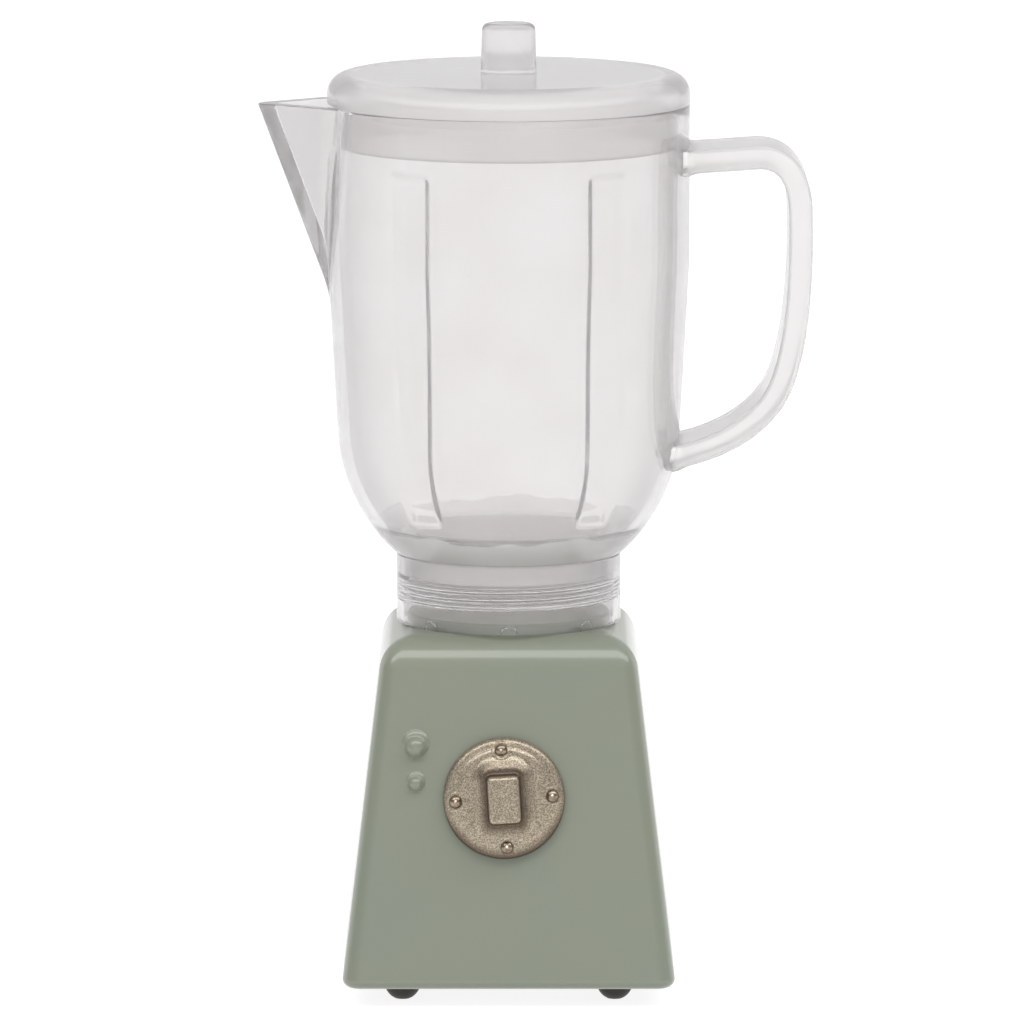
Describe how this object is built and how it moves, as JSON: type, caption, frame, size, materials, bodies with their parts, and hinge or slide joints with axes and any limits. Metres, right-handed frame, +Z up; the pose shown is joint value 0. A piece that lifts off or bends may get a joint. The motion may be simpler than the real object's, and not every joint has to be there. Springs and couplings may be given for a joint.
{
  "type": "toy blender",
  "caption": "Toy blender with a painted four-sided base, a turning dial, a clear jug with spout and strap handle that screws into a clear collar, and a lift-off lid.",
  "frame": {"origin": "centre of the base on the surface that the feet stand on, on the jug's axis", "axes": "+Z up along the jug's axis, +X to the handle, -X to the spout, -Y to the face with the dial"},
  "size_m": [0.0484, 0.032, 0.0848],
  "materials": {
    "green_paint": "satin grey-green enamel with soft, filled edges",
    "bronze_paint": "champagne bronze metallic paint with a fine speckle",
    "rivet_brass": "dull, darkened brass",
    "steel": "plain zinc-plated fasteners",
    "rubber": "dark brown, smooth",
    "clear_plastic": "clear moulded polystyrene, polished, with slight flow marks"
  },
  "bodies": {
    "base": {"base_housing": "green_paint", "base_plate": "green_paint", "plate_screws": "steel", "foot_front_left": "rubber", "foot_front_right": "rubber", "foot_rear_left": "rubber", "foot_rear_right": "rubber", "button_upper": "green_paint", "button_lower": "green_paint"},
    "dial": {"dial": "bronze_paint", "dial_rivets": "rivet_brass", "dial_wave_washer": "steel", "dial_washer": "steel", "dial_screw": "steel"},
    "collar": {"collar": "clear_plastic"},
    "jug": {"jug_body": "clear_plastic"},
    "lid": {"lid": "clear_plastic"}
  },
  "joints": [
    {"name": "dial_turn", "type": "hinge", "parent": "base", "child": "dial", "pos_m": [-0.0004, -0.0126, 0.0184], "axis": [0, -0.9929, 0.1188], "continuous": true},
    {"name": "collar_lift", "type": "slide", "parent": "base", "child": "collar", "axis": [0, 0, 1], "range_m": [0, 0.02]},
    {"name": "jug_unscrew", "type": "hinge", "parent": "collar", "child": "jug", "pos_m": [0, 0, 0.0384], "axis": [0, 0, 1], "range_deg": [0, 1170]},
    {"name": "lid_lift", "type": "slide", "parent": "jug", "child": "lid", "axis": [0, 0, 1], "range_m": [0, 0.015]}
  ]
}
